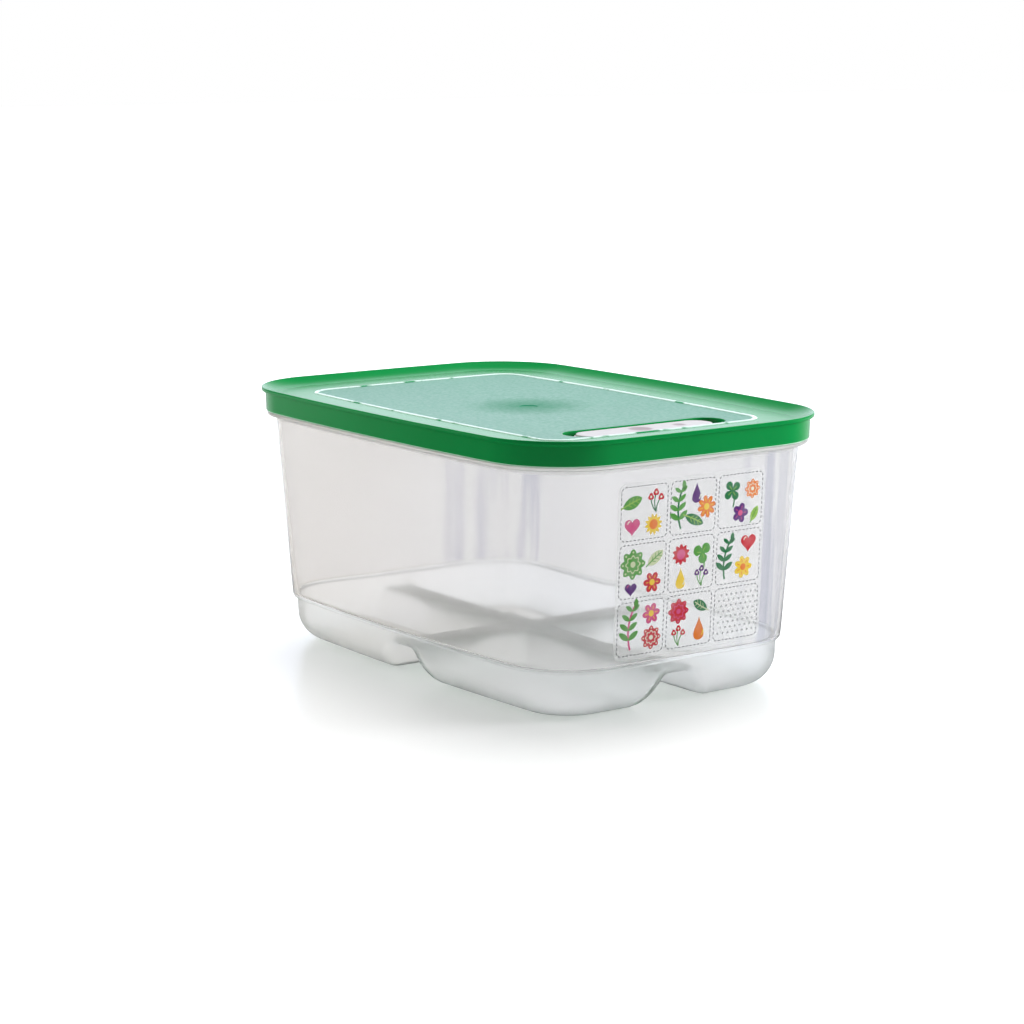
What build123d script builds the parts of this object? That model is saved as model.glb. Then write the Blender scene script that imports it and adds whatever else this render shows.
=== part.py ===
from build123d import *
from math import atan2, cos, degrees, radians, sin
import os

# Vented food storage container, in millimetres. X runs along the long side with the vent at
# its +X end, Z is up, and the four feet of the tub stand on Z = 0.
LID_LENGTH = 280.0
LID_WIDTH = 194.0
TOP_Z = 136.4
GAP = 0.3

# The sides bow gently outward on long arcs between the round corners.
END_BOW_RADIUS = 2750.0
SIDE_BOW_RADIUS = 1900.0

# Tub wall: outside size under the rim and at the step above the feet.
LIP_REACH = 7.5
WALL = 2.0
RIM_LENGTH = LID_LENGTH - 2 * LIP_REACH
RIM_WIDTH = LID_WIDTH - 2 * LIP_REACH
RIM_CORNER = 37.2
STEP_LENGTH = 256.2
STEP_WIDTH = 164.2
STEP_CORNER = 35.0
STEP_Z = 23.5
STEP_BEVEL = 1.0
FLANGE_Z = 121.8

# Tray under the step: round-edged feet parted by a valley across and a valley along.
LEDGE = 2.2
TRAY_DRAFT = 1.2
FOOT_ROUND = 15.0
HOLLOW_BANDS = 3
VALLEY_ROOF_Z = 16.0
VALLEY_ROOF_ROUND = 5.0
VALLEY_EDGE_BEVEL = 2.5
HOLLOW_BEVEL = 2.0
ACROSS_ROOF = 17.0
ACROSS_FLOOR = 44.0
ALONG_ROOF = 16.0
ALONG_FLOOR = 42.0
SHARP_ANGLES = (4, 176)

# Rim of the tub; every reach is measured outward from the wall outline under the rim.
FLANGE_REACH = 4.6
FLANGE_THICK = 2.0
RIM_INNER = 0.9
RIM_OUTER = 2.9
RIM_BEAD = 0.45
RIM_BEAD_Z = 130.2
RIM_TOP_Z = 132.0
RIM_BEVEL = 0.5

# Lid: lip, skirt, plug wall inside the rim, and the sunk panel in a dished slope.
LIP_HEIGHT = 2.0
LIP_BEVEL = 0.7
NECK_Z = TOP_Z - LIP_HEIGHT - 0.5
SKIRT_REACH = 5.5
SKIRT_DRAFT = 0.3
SKIRT_WALL = 1.5
SKIRT_BOTTOM_Z = 123.9
HEM_BEVEL = 0.5
PLUG_REACH = RIM_INNER - GAP
PLUG_WALL = 1.4
PLUG_BOTTOM_Z = 127.0
RING_UNDER_Z = RIM_TOP_Z + GAP
LID_WALL = 1.6
PANEL_Z = 132.6
SLOPE_FOOT = -5.6
SLOPE_HEAD = 6.3
SLOPE_BANDS = 3
SLOPE_UNDER = SLOPE_FOOT + 0.6
SLOPE_UNDER_RISE = 0.4
PANEL_LAP = -9.0

# Thin bead on the panel that guides the feet of a container stacked on top.
BEAD_LENGTH = 215.2
BEAD_WIDTH = 133.0
BEAD_CORNER = 14.0
BEAD_HALF = 0.65
BEAD_RISE = 0.45
GATE_DIAMETER = 9.0
GATE_DEPTH = 0.35

# Vent well in the lid, an oblong along Y near the +X edge, and its two air slots.
WELL_X = 95.6
WELL_LENGTH = 94.5
WELL_WIDTH = 20.0
WELL_WALL = 1.4
WELL_FLOOR_Z = 129.3
WELL_FLOOR = 1.5
SLOT_Y = 20.0
SLOT_LENGTH = 12.0
SLOT_WIDTH = 3.0
RAIL_REACH = 0.7
RAIL_LENGTH = 48.0
RAIL_Z = 131.05
RAIL_THICK = 0.8

# Slider: a flange under the rails and a narrower raised body.
SLIDER_LENGTH = 81.5
SLIDER_FLANGE_WIDTH = WELL_WIDTH - 2 * GAP
SLIDER_FLANGE = 1.1
SLIDER_BODY_WIDTH = 17.4
SLIDER_TOP_Z = 131.9
SLIDER_BEVEL = 0.4
DISH_SLOPE = 1.5
SLIDER_TRAVEL = 6.0
THUMB_Y = -3.0
THUMB_DIAMETER = 13.0
THUMB_DEPTH = 0.6
MARK_Y = 21.0
MARK_DIAMETER = 7.0
MARK_DEPTH = 0.3
CHANNEL_DEPTH = 0.7
CHANNEL_MARGIN = 1.5


def bowed_outline(length, width, corner, height):
    """Rounded rectangle at one height, each side bowed outward on a long arc."""
    end_fall = (width / 2) ** 2 / (2 * END_BOW_RADIUS)
    side_fall = (length / 2) ** 2 / (2 * SIDE_BOW_RADIUS)
    x = length / 2 - end_fall
    y = width / 2 - side_fall
    with BuildSketch(Plane.XY.offset(height)) as outline:
        with BuildLine():
            ThreePointArc((x, -y), (length / 2, 0), (x, y))
            ThreePointArc((x, y), (0, width / 2), (-x, y))
            ThreePointArc((-x, y), (-length / 2, 0), (-x, -y))
            ThreePointArc((-x, -y), (0, -width / 2), (x, -y))
        make_face()
        fillet(outline.vertices(), corner)
    return outline.sketch


def wall_outline(height, inset):
    """Outline of the tapered wall at one height, drawn in by the inset."""
    rise = (height - STEP_Z) / (FLANGE_Z - STEP_Z)
    length = STEP_LENGTH + rise * (RIM_LENGTH - STEP_LENGTH)
    width = STEP_WIDTH + rise * (RIM_WIDTH - STEP_WIDTH)
    corner = STEP_CORNER + rise * (RIM_CORNER - STEP_CORNER)
    return bowed_outline(length - 2 * inset, width - 2 * inset, corner - inset, height)


def rim_offset(reach, height):
    """Outline that stands a given reach outside the wall under the rim."""
    return bowed_outline(
        RIM_LENGTH + 2 * reach, RIM_WIDTH + 2 * reach, RIM_CORNER + reach, height
    )


def section_plane(path):
    """Upright plane across the start of a level path, X outward and Y at true height."""
    start = path @ 0
    along = path % 0
    outward = along.cross(Vector(0, 0, 1))
    if outward.dot(start) < 0:
        outward = -outward
    return Plane(origin=(start.X, start.Y, 0), x_dir=outward, z_dir=outward.cross(Vector(0, 0, 1)))


def bevel_corners(section, corners):
    """Bevel the section's corners nearest to the named points, each by its own length."""
    for point, length in corners:
        chamfer(section.vertices().sort_by_distance(Vector(*point))[0], length)


def dished_slope():
    """Points up the lid's slope, on a hollow arc that leaves the panel level."""
    reach = SLOPE_HEAD - SLOPE_FOOT
    rise = TOP_Z - PANEL_Z
    radius = (reach**2 + rise**2) / (2 * rise)
    turns = [2 * atan2(rise, reach) * band / SLOPE_BANDS for band in range(SLOPE_BANDS + 1)]
    return [(SLOPE_FOOT + radius * sin(t), PANEL_Z + radius * (1 - cos(t))) for t in turns]


def valley_half(roof_width, floor_width, height):
    """Half the width of a valley at one height, measured between its sloping flanks."""
    return (floor_width - (floor_width - roof_width) * height / VALLEY_ROOF_Z) / 2


def valley_groove(plane, roof_width, floor_width, reach):
    """Groove with sloping flanks and a round-cornered roof, run along one axis."""
    roof_half = valley_half(roof_width, floor_width, VALLEY_ROOF_Z)
    foot_half = valley_half(roof_width, floor_width, -WALL)
    with BuildPart() as groove:
        with BuildSketch(plane) as profile:
            with BuildLine():
                Polyline(
                    (-foot_half, -WALL),
                    (-roof_half, VALLEY_ROOF_Z),
                    (roof_half, VALLEY_ROOF_Z),
                    (foot_half, -WALL),
                    close=True,
                )
            make_face()
            fillet(profile.vertices().group_by(Axis.Y)[-1], VALLEY_ROOF_ROUND)
        extrude(amount=reach, both=True)
    return groove.part


def tray_outline(height, inset):
    """Outline of the drafted tray at one height, drawn in from its outside."""
    draw_in = LEDGE + TRAY_DRAFT * (1 - height / STEP_Z) + inset
    return bowed_outline(
        STEP_LENGTH - 2 * draw_in, STEP_WIDTH - 2 * draw_in, STEP_CORNER - draw_in, height
    )


def foot_outline(height, inset):
    """Part of the tray outline over one foot, a wall away from both valley flanks."""
    flanks = []
    for roof_width, floor_width in ((ACROSS_ROOF, ACROSS_FLOOR), (ALONG_ROOF, ALONG_FLOOR)):
        slope = (floor_width - roof_width) / 2 / VALLEY_ROOF_Z
        half = valley_half(roof_width, floor_width, height)
        flanks.append(half + WALL * (1 + slope**2) ** 0.5)
    with BuildSketch(Plane.XY.offset(height)) as outline:
        add(tray_outline(height, inset))
        with Locations((flanks[0], flanks[1])):
            Rectangle(LID_LENGTH, LID_WIDTH, align=(Align.MIN, Align.MIN), mode=Mode.INTERSECT)
        inner = outline.vertices().sort_by_distance(Vector(flanks[0], flanks[1], height))[0]
        low = outline.vertices().group_by(Axis.Y)[0].sort_by(Axis.X)[-1]
        left = outline.vertices().group_by(Axis.X)[0].sort_by(Axis.Y)[-1]
        chamfer([inner, low, left], HOLLOW_BEVEL)
    return outline.sketch


def valley_edges(tray):
    """Sharp edges that the valleys leave all round each foot."""
    low, high = SHARP_ANGLES
    sides = {}
    for face in tray.faces():
        for edge in face.edges():
            sides.setdefault(edge, []).append(face)
    sharp = ShapeList()
    for edge, (one, other) in sides.items():
        middle = edge.position_at(0.5)
        angle = one.normal_at(middle).get_angle(other.normal_at(middle))
        if low < angle < high and middle.Z < STEP_Z - WALL:
            sharp.append(edge)
    return sharp


rim_path = rim_offset(0, FLANGE_Z).wire()

# Outside of the tray: round-edged all along the bottom, then parted by the valleys.
tray_draft = degrees(atan2(TRAY_DRAFT, STEP_Z))
across = valley_groove(Plane.XZ, ACROSS_ROOF, ACROSS_FLOOR, LID_WIDTH)
along = valley_groove(Plane.YZ, ALONG_ROOF, ALONG_FLOOR, LID_LENGTH)

with BuildPart() as tray_outside:
    add(tray_outline(0, 0))
    extrude(amount=STEP_Z, taper=-tray_draft)
    fillet(tray_outside.faces().sort_by(Axis.Z)[0].edges(), FOOT_ROUND)
    add([across, along], mode=Mode.SUBTRACT)
    chamfer(valley_edges(tray_outside), VALLEY_EDGE_BEVEL)

# Inside of the tray: a hollow for each foot, its round edge in flat bands, under one slab.
hollow_round = FOOT_ROUND - WALL
slab_z = VALLEY_ROOF_Z + WALL

with BuildPart() as foot_hollow:
    for band in range(HOLLOW_BANDS + 1):
        turn = radians(90 * band / HOLLOW_BANDS)
        band_z = WALL + hollow_round * (1 - cos(turn))
        add(foot_outline(band_z, WALL + hollow_round * (1 - sin(turn))))
    add(foot_outline(slab_z + HOLLOW_BEVEL, WALL))
    loft(ruled=True)
    mirror(about=Plane.XZ)
    mirror(about=Plane.YZ)

with BuildPart() as tray_inside:
    add(tray_outline(slab_z, WALL))
    extrude(amount=STEP_Z + WALL - slab_z, taper=-tray_draft)
    chamfer(tray_inside.faces().sort_by(Axis.Z)[0].edges(), HOLLOW_BEVEL)
    add(foot_hollow.part)

with BuildPart() as wall_inside:
    add([wall_outline(STEP_Z + WALL, WALL), wall_outline(FLANGE_Z + FLANGE_THICK, WALL)])
    loft(ruled=True)

# Tub: drafted wall with a bevelled step, tray with feet, and a swept rim; hollow throughout.
with BuildPart() as tub:
    add([wall_outline(STEP_Z, STEP_BEVEL), wall_outline(STEP_Z + STEP_BEVEL, 0)])
    add(wall_outline(FLANGE_Z + FLANGE_THICK / 2, 0))
    loft(ruled=True)
    add(tray_outside.part)
    with BuildSketch(section_plane(rim_path)) as rim_section:
        with BuildLine():
            Polyline(
                (PANEL_LAP, FLANGE_Z),
                (FLANGE_REACH, FLANGE_Z),
                (FLANGE_REACH, FLANGE_Z + FLANGE_THICK),
                (RIM_OUTER, FLANGE_Z + FLANGE_THICK),
                (RIM_OUTER, RIM_BEAD_Z - 2 * RIM_BEAD),
                (RIM_OUTER + RIM_BEAD, RIM_BEAD_Z),
                (RIM_OUTER, RIM_TOP_Z),
                (PANEL_LAP, RIM_TOP_Z),
                close=True,
            )
        make_face()
        bevel_corners(
            rim_section,
            [
                ((FLANGE_REACH, FLANGE_Z), RIM_BEVEL),
                ((FLANGE_REACH, FLANGE_Z + FLANGE_THICK), RIM_BEVEL),
                ((RIM_OUTER, RIM_TOP_Z), RIM_BEVEL),
            ],
        )
    sweep(path=rim_path)
    add(wall_inside.part, mode=Mode.SUBTRACT)
    add(tray_inside.part, mode=Mode.SUBTRACT)
    add(rim_offset(RIM_INNER, FLANGE_Z + FLANGE_THICK))
    extrude(amount=RIM_TOP_Z, mode=Mode.SUBTRACT)
    chamfer(tub.faces().sort_by(Axis.Z)[-1].inner_wires()[0].edges(), RIM_BEVEL)

tub.part.label = "tub"

# Lid: swept edge with lip, skirt and plug wall, a sunk panel, the bead and the vent well.
with BuildPart() as lid:
    with BuildSketch(section_plane(rim_path)) as lid_section:
        with BuildLine():
            Polyline(
                (SKIRT_REACH - SKIRT_DRAFT, SKIRT_BOTTOM_Z),
                (SKIRT_REACH - SKIRT_DRAFT - SKIRT_WALL, SKIRT_BOTTOM_Z),
                (SKIRT_REACH - SKIRT_WALL, RING_UNDER_Z),
                (PLUG_REACH, RING_UNDER_Z),
                (PLUG_REACH, PLUG_BOTTOM_Z),
                (PLUG_REACH - PLUG_WALL, PLUG_BOTTOM_Z),
                (PLUG_REACH - PLUG_WALL, PANEL_Z - LID_WALL + SLOPE_UNDER_RISE),
                (SLOPE_UNDER, PANEL_Z - LID_WALL),
                (PANEL_LAP, PANEL_Z - LID_WALL),
                (PANEL_LAP, PANEL_Z),
                *dished_slope(),
                (LIP_REACH, TOP_Z),
                (LIP_REACH, TOP_Z - LIP_HEIGHT),
                (SKIRT_REACH, NECK_Z),
                close=True,
            )
        make_face()
        bevel_corners(
            lid_section,
            [
                ((LIP_REACH, TOP_Z), LIP_BEVEL),
                ((SKIRT_REACH - SKIRT_DRAFT, SKIRT_BOTTOM_Z), HEM_BEVEL),
            ],
        )
    sweep(path=rim_path)
    add(rim_offset(PANEL_LAP + LID_WALL, PANEL_Z))
    extrude(amount=-LID_WALL)
    # Guiding bead, a low trapezium in section.
    bead_path = bowed_outline(BEAD_LENGTH, BEAD_WIDTH, BEAD_CORNER, PANEL_Z).wire()
    with BuildSketch(section_plane(bead_path)):
        with BuildLine():
            Polyline(
                (BEAD_HALF, PANEL_Z - LID_WALL / 2),
                (BEAD_HALF, PANEL_Z),
                (BEAD_HALF / 2, PANEL_Z + BEAD_RISE),
                (-BEAD_HALF / 2, PANEL_Z + BEAD_RISE),
                (-BEAD_HALF, PANEL_Z),
                (-BEAD_HALF, PANEL_Z - LID_WALL / 2),
                close=True,
            )
        make_face()
    sweep(path=bead_path)
    # Gate mark at the middle of the panel.
    with BuildSketch(Plane.XY.offset(PANEL_Z)):
        Circle(GATE_DIAMETER / 2)
    extrude(amount=-GATE_DEPTH, mode=Mode.SUBTRACT)
    # Vent well: an outer cup through the panel, then its pocket.
    with BuildSketch(Plane.XY.offset(WELL_FLOOR_Z - WELL_FLOOR)):
        with Locations((WELL_X, 0)):
            SlotOverall(WELL_LENGTH + 2 * WELL_WALL, WELL_WIDTH + 2 * WELL_WALL, rotation=90)
    extrude(amount=PANEL_Z - WELL_FLOOR_Z + WELL_FLOOR)
    with BuildSketch(Plane.XY.offset(WELL_FLOOR_Z)):
        with Locations((WELL_X, 0)):
            SlotOverall(WELL_LENGTH, WELL_WIDTH, rotation=90)
    extrude(amount=TOP_Z - WELL_FLOOR_Z, mode=Mode.SUBTRACT)
    # Rails that hold the slider down along both long edges of the well.
    with BuildSketch(Plane.XY.offset(RAIL_Z)):
        for side in (-1, 1):
            with Locations((WELL_X + side * (WELL_WIDTH - RAIL_REACH + WELL_WALL) / 2, 0)):
                Rectangle(RAIL_REACH + WELL_WALL, RAIL_LENGTH)
    extrude(amount=RAIL_THICK)
    # Air slots through the floor of the well.
    with BuildSketch(Plane.XY.offset(WELL_FLOOR_Z)):
        with Locations((WELL_X, -SLOT_Y), (WELL_X, SLOT_Y)):
            SlotOverall(SLOT_LENGTH, SLOT_WIDTH)
    extrude(amount=-WELL_FLOOR, mode=Mode.SUBTRACT)

lid.part.label = "lid"

# Slider: channels under it join the air slots to the open edges of the well, both at one
# end of the travel, one in the middle and none at the other end.
slider_floor_z = WELL_FLOOR_Z + GAP

with BuildPart() as vent_slider:
    with BuildSketch(Plane.XY.offset(slider_floor_z)):
        with Locations((WELL_X, 0)):
            SlotOverall(SLIDER_LENGTH, SLIDER_FLANGE_WIDTH, rotation=90)
    extrude(amount=SLIDER_FLANGE)
    flange_draw_in = SLIDER_FLANGE_WIDTH - SLIDER_BODY_WIDTH
    with BuildSketch(Plane.XY.offset(slider_floor_z + SLIDER_FLANGE)):
        with Locations((WELL_X, 0)):
            SlotOverall(SLIDER_LENGTH - flange_draw_in, SLIDER_BODY_WIDTH, rotation=90)
    extrude(amount=SLIDER_TOP_Z - slider_floor_z - SLIDER_FLANGE)
    chamfer(vent_slider.faces().sort_by(Axis.Z)[-1].edges(), SLIDER_BEVEL)
    for y, diameter, depth in (
        (THUMB_Y, THUMB_DIAMETER, THUMB_DEPTH),
        (MARK_Y, MARK_DIAMETER, MARK_DEPTH),
    ):
        with Locations((WELL_X, y, SLIDER_TOP_Z - depth / 2)):
            Cone(diameter / 2 - DISH_SLOPE, diameter / 2, depth, mode=Mode.SUBTRACT)
    open_from = -SLOT_Y - SLIDER_TRAVEL - SLOT_WIDTH / 2 - CHANNEL_MARGIN
    open_to = -SLOT_Y + SLOT_WIDTH / 2 + CHANNEL_MARGIN
    single_from = SLOT_Y - SLIDER_TRAVEL - SLOT_WIDTH / 2 - CHANNEL_MARGIN
    single_to = SLOT_Y - SLIDER_TRAVEL + SLOT_WIDTH / 2 + CHANNEL_MARGIN
    with BuildSketch(Plane.XY.offset(slider_floor_z)):
        for low, high in ((open_from, open_to), (single_from, single_to)):
            with Locations((WELL_X, (low + high) / 2)):
                Rectangle(WELL_WIDTH, high - low)
    extrude(amount=CHANNEL_DEPTH, mode=Mode.SUBTRACT)

vent_slider.part.label = "vent_slider"

os.makedirs("parts", exist_ok=True)
export_step(tub.part, "parts/tub.step")
export_step(lid.part, "parts/lid.step")
export_step(vent_slider.part, "parts/vent_slider.step")
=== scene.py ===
import math

import bmesh
import bpy
import numpy as np
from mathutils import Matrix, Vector


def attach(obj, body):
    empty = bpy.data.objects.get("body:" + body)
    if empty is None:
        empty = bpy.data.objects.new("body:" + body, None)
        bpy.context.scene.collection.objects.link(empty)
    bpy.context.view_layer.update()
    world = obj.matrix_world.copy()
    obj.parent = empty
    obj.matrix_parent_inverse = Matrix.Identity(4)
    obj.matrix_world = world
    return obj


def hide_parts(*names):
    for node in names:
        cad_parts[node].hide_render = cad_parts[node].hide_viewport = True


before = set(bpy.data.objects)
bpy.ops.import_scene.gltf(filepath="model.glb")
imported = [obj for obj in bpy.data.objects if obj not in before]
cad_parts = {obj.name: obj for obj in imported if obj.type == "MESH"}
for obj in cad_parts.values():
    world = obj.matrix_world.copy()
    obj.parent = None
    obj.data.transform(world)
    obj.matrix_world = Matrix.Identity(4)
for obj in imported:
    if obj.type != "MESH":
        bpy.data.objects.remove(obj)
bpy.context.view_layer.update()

# Sizes in millimetres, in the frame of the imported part: X along the long side with the vent
# at its +X end, Z up, feet on Z = 0. Meshes are scaled to metres when they are made.
MM = 0.001
WALL = 2.0
END_BOW_RADIUS = 2750.0
SIDE_BOW_RADIUS = 1900.0
STEP_SIZE = (256.2, 164.2, 35.0)
RIM_SIZE = (265.0, 179.0, 37.2)
BEAD_SIZE = (218.4, 136.0, 13.0)
STEP_Z = 23.5
STEP_ROUND = 1.4
FLANGE_Z = 121.8
LEDGE = 2.2
TRAY_DRAFT = 1.2
FOOT_ROUND = 15.0
VALLEY_ROOF_Z = 16.0
VALLEY_ROOF_ROUND = 5.0
ACROSS = (17.0, 44.0)
ALONG = (16.0, 42.0)
FOOT_EDGE_ROUND = 4.0
# Roundings of a foot's edge at its bottom and its top, and how much less inside, for each
# millimetre of wall.
EDGE_ROUNDS, EDGE_LESS = (2.1, 6.0), 0.3
RAY_REACH = 40.0
PANEL_Z = 132.6
PANEL_UNDER_Z = 131.0
PANEL_SAG = 0.8
BEAD_HALF = 1.2
BEAD_RISE = 0.45
WELL_X = 95.6
WELL_HALF = 37.25
WELL_RADIUS = 10.0
WELL_WALL = 1.4
WELL_FLOOR_Z = 129.3
WELL_UNDER_Z = 127.8
SLIDER_TOP_Z = 131.9
SKIRT_EDGE_Z = 124.42

# Rings that fan out from the level ring in the tray, and halvings that find its surface.
FAN_RINGS = 27
HALVINGS = 36


def runs(*parts):
    """Evenly spaced values in runs of (start, stop, count), each without its own stop."""
    return np.concatenate([np.linspace(*part, endpoint=False) for part in parts])


# Shares of each arc of a quarter outline at which its points stand: close together at the
# middles of the sides, where the valleys run out.
END_SHARES = runs((0, 0.46, 21), (0.46, 1, 8))
CORNER_SHARES = runs((0, 1, 40))
SIDE_SHARES = np.append(runs((0, 0.7, 16), (0.7, 1, 25)), 1.0)


def bow_radii(length, width):
    """Radii of the end arcs and the side arcs of a bowed outline.

    Each end is an arc through its middle and its two corner points, of half chord y and rise
    e, so its radius is (y squared + e squared) / 2e; each side likewise.
    """
    end_rise = (width / 2) ** 2 / (2 * END_BOW_RADIUS)
    side_rise = (length / 2) ** 2 / (2 * SIDE_BOW_RADIUS)
    end_radius = ((width / 2 - side_rise) ** 2 + end_rise**2) / (2 * end_rise)
    side_radius = ((length / 2 - end_rise) ** 2 + side_rise**2) / (2 * side_rise)
    return end_radius, side_radius


def bowed_loop(length, width, corner):
    """Rounded rectangle with bowed sides, one closed ring of points for each row of sizes.

    A corner circle touches the end arc and the side arc from inside, so its centre is where
    circles of the arcs' radii less its own cross. Every point is an arc's centre plus its
    radius times (cos, sin) of an angle, which is also the outward direction there. A quarter
    is worked out and mirrored.
    """
    length, width, corner = (np.asarray(v, float).reshape(-1, 1) for v in (length, width, corner))
    end_radius, side_radius = bow_radii(length, width)
    end_x = length / 2 - end_radius
    side_y = width / 2 - side_radius
    gap = np.hypot(end_x, side_y)
    share = ((end_radius - corner) ** 2 - (side_radius - corner) ** 2 + gap**2) / (2 * gap)
    lift = np.sqrt((end_radius - corner) ** 2 - share**2)
    corner_x = end_x - share * end_x / gap - lift * side_y / gap
    corner_y = share * side_y / gap - lift * end_x / gap
    start = np.arctan2(corner_y, corner_x - end_x)
    stop = np.arctan2(corner_y - side_y, corner_x)
    arcs = [
        (end_x, 0 * end_x, end_radius, start * END_SHARES),
        (corner_x, corner_y, corner, start + (stop - start) * CORNER_SHARES),
        (0 * side_y, side_y, side_radius, stop + (np.pi / 2 - stop) * SIDE_SHARES),
    ]
    points = np.concatenate(
        [np.stack([x + r * np.cos(t), y + r * np.sin(t)], -1) for x, y, r, t in arcs], 1
    )
    outward = np.concatenate([np.stack([np.cos(t), np.sin(t)], -1) for _, _, _, t in arcs], 1)
    rings = []
    for quarter in (points, outward):
        back = quarter[:, :0:-1]
        turned = [quarter[:, :-1], back * (-1, 1), -quarter[:, :-1], back * (1, -1)]
        rings.append(np.concatenate(turned, 1))
    return rings


def raised(points, heights):
    """Flat rings set at one height or each at its own; a lone ring stands at every height."""
    heights = np.asarray(heights, float).reshape(-1, 1, 1)
    flat = points + 0 * heights
    return np.concatenate([flat, heights + 0 * flat[..., :1]], -1)


def loops_at(size, section):
    """Rings of a bowed outline grown by each reach of a section, at its heights."""
    reach, height = np.asarray(section, float).T
    points, _ = bowed_loop(size[0] + 2 * reach, size[1] + 2 * reach, size[2] + reach)
    return raised(points, height)


def wall_loops(heights, inset):
    """Rings of the tapered wall: its sizes grow evenly from the step to the flange."""
    heights = np.asarray(heights, float)
    rise = (heights - STEP_Z) / (FLANGE_Z - STEP_Z)
    length, width, corner = (a + rise * (b - a) for a, b in zip(STEP_SIZE, RIM_SIZE))
    points, _ = bowed_loop(length - 2 * inset, width - 2 * inset, corner - inset)
    return raised(points, heights)


def rounded_section(corners, steps=5):
    """Section line whose inner corners (reach, height, radius) are arcs.

    An arc starts and ends radius times tan(half the turn) from the corner, and its points
    turn evenly about its centre, which lies on the corner's bisector.
    """
    marks = [np.array(c[:2], float) for c in corners]
    lines = [marks[0][None]]
    for before, corner, here, after in zip(marks, corners[1:-1], marks[1:], marks[2:]):
        back, ahead = before - here, after - here
        back, ahead = back / np.hypot(*back), ahead / np.hypot(*ahead)
        turn = np.pi - np.arccos(np.clip(back @ ahead, -1, 1))
        middle = back + ahead
        centre = here + middle / np.hypot(*middle) * corner[2] / np.cos(turn / 2)
        cut = corner[2] * np.tan(turn / 2)
        share = np.linspace(0, 1, corner[3] if len(corner) > 3 else steps)[:, None]
        first, last = here + back * cut - centre, here + ahead * cut - centre
        blend = np.sin((1 - share) * turn) * first + np.sin(share * turn) * last
        lines.append(centre + blend / np.sin(turn))
    lines.append(marks[-1][None])
    return np.concatenate(lines)


def round_max(radius, *values):
    """Largest of the values with its corners rounded: grow all by the radius, take the length
    of their positive parts, or the largest where none is positive, and take the radius off."""
    grown = np.stack(np.broadcast_arrays(*values)) + radius
    length = np.sqrt((np.maximum(grown, 0) ** 2).sum(0))
    return length + np.minimum(grown.max(0), 0) - radius


def tray_field(x, y, z, reach, wall):
    """Value that is negative in the tray and positive outside it.

    A foot is the rounded largest of the distances to the drafted wall and to the bottom. The
    valleys are cut where a point is both under their roof and between sloping flanks.
    """
    foot = round_max(
        FOOT_ROUND - wall, reach + wall - FOOT_ROUND - TRAY_DRAFT * z / STEP_Z, wall - z
    )
    flanks = []
    for offset, (roof, floor) in ((np.abs(x), ACROSS), (np.abs(y), ALONG)):
        slope = (floor - roof) / 2 / VALLEY_ROOF_Z
        flanks.append((floor / 2 - slope * z - offset) / np.hypot(1, slope) + wall)
    between = round_max(FOOT_EDGE_ROUND - wall, *flanks)
    turn = np.arctan(2 * VALLEY_ROOF_Z / (ACROSS[1] - ACROSS[0]))
    roof_round = (VALLEY_ROOF_ROUND + wall) * np.tan(turn / 2) * np.sin(turn)
    valley = -round_max(roof_round, z - VALLEY_ROOF_Z - wall, -between)
    edge = np.interp(z, (0, VALLEY_ROOF_Z), EDGE_ROUNDS) - EDGE_LESS * wall
    return round_max(edge, foot, valley)


def tray_loops(wall):
    """Rings of the tray's surface from its middle to its upper edge.

    Rays leave a level ring that lies in the tray: straight down inside the ring, and fanned
    out from it through a quarter turn. Halving finds where each ray meets the surface.
    """
    inset = LEDGE + TRAY_DRAFT + FOOT_ROUND
    length, width, corner = STEP_SIZE
    rings = bowed_loop(length - 2 * inset, width - 2 * inset, corner - inset)
    anchor, outward = (ring[0] for ring in rings)
    down = runs((0, 0.12, 5), (0.12, 0.46, 22), (0.46, 1, 15))
    scale = np.append(down, np.ones(FAN_RINGS))[:, None]
    angle = np.append(0 * down, np.linspace(0, np.pi / 2, FAN_RINGS))[:, None]
    start = anchor * scale[..., None]
    near = np.zeros((len(scale), len(anchor)))
    far = near + RAY_REACH
    for _ in range(HALVINGS):
        middle = (near + far) / 2
        reach = middle * np.sin(angle)
        spot = start + outward * reach[..., None]
        height = STEP_Z + wall - middle * np.cos(angle)
        solid = tray_field(spot[..., 0], spot[..., 1], height, reach, wall) < 0
        near, far = np.where(solid, middle, near), np.where(solid, far, middle)
    flat = start + outward * (near * np.sin(angle))[..., None]
    return np.dstack([flat, STEP_Z + wall - near * np.cos(angle)])


def grid_faces(rows, columns, first):
    """Quads between neighbouring rows of a grid whose rows are closed rings."""
    row, column = np.meshgrid(np.arange(rows - 1), np.arange(columns), indexing="ij")
    here, beside = row * columns + column, row * columns + (column + 1) % columns
    corners = np.stack([here, beside, beside + columns, here + columns], -1)
    return first + corners.reshape(-1, 4)


def web(outer, inner, count):
    """Evenly spaced rings on straight lines from one ring to another of as many points."""
    shares = np.linspace(0, 1, count)[:, None, None]
    return outer * (1 - shares) + inner * shares


def add_object(name, data):
    """Object in the scene, at its origin."""
    item = bpy.data.objects.new(name, data)
    bpy.context.scene.collection.objects.link(item)
    return item


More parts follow.
